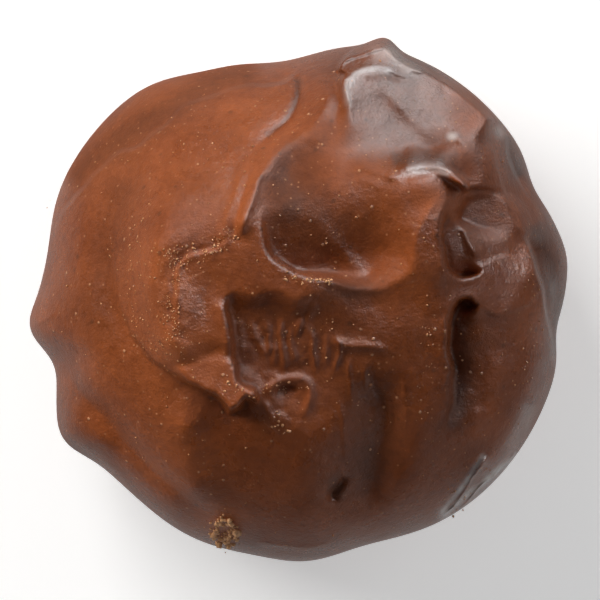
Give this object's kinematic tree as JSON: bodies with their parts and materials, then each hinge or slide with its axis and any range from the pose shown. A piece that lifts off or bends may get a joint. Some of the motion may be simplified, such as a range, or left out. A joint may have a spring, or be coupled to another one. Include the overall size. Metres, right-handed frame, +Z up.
{
  "type": "chocolate truffle",
  "caption": "Hand-dipped milk chocolate truffle: a rounded solid dome with folded coating, thumb-like hollows and a flat underside to rest on.",
  "frame": {"origin": "middle of the flat underside, on the surface the truffle stands on", "axes": "+Z up through the dished crown, +X along the longest side of the plan, towards the long groove and the right-hand ledge"},
  "size_m": [0.036, 0.035, 0.0261],
  "materials": {
    "milk_chocolate": "satin milk chocolate with glossier folds"
  },
  "bodies": {
    "root": {"truffle": "milk_chocolate"}
  },
  "joints": []
}
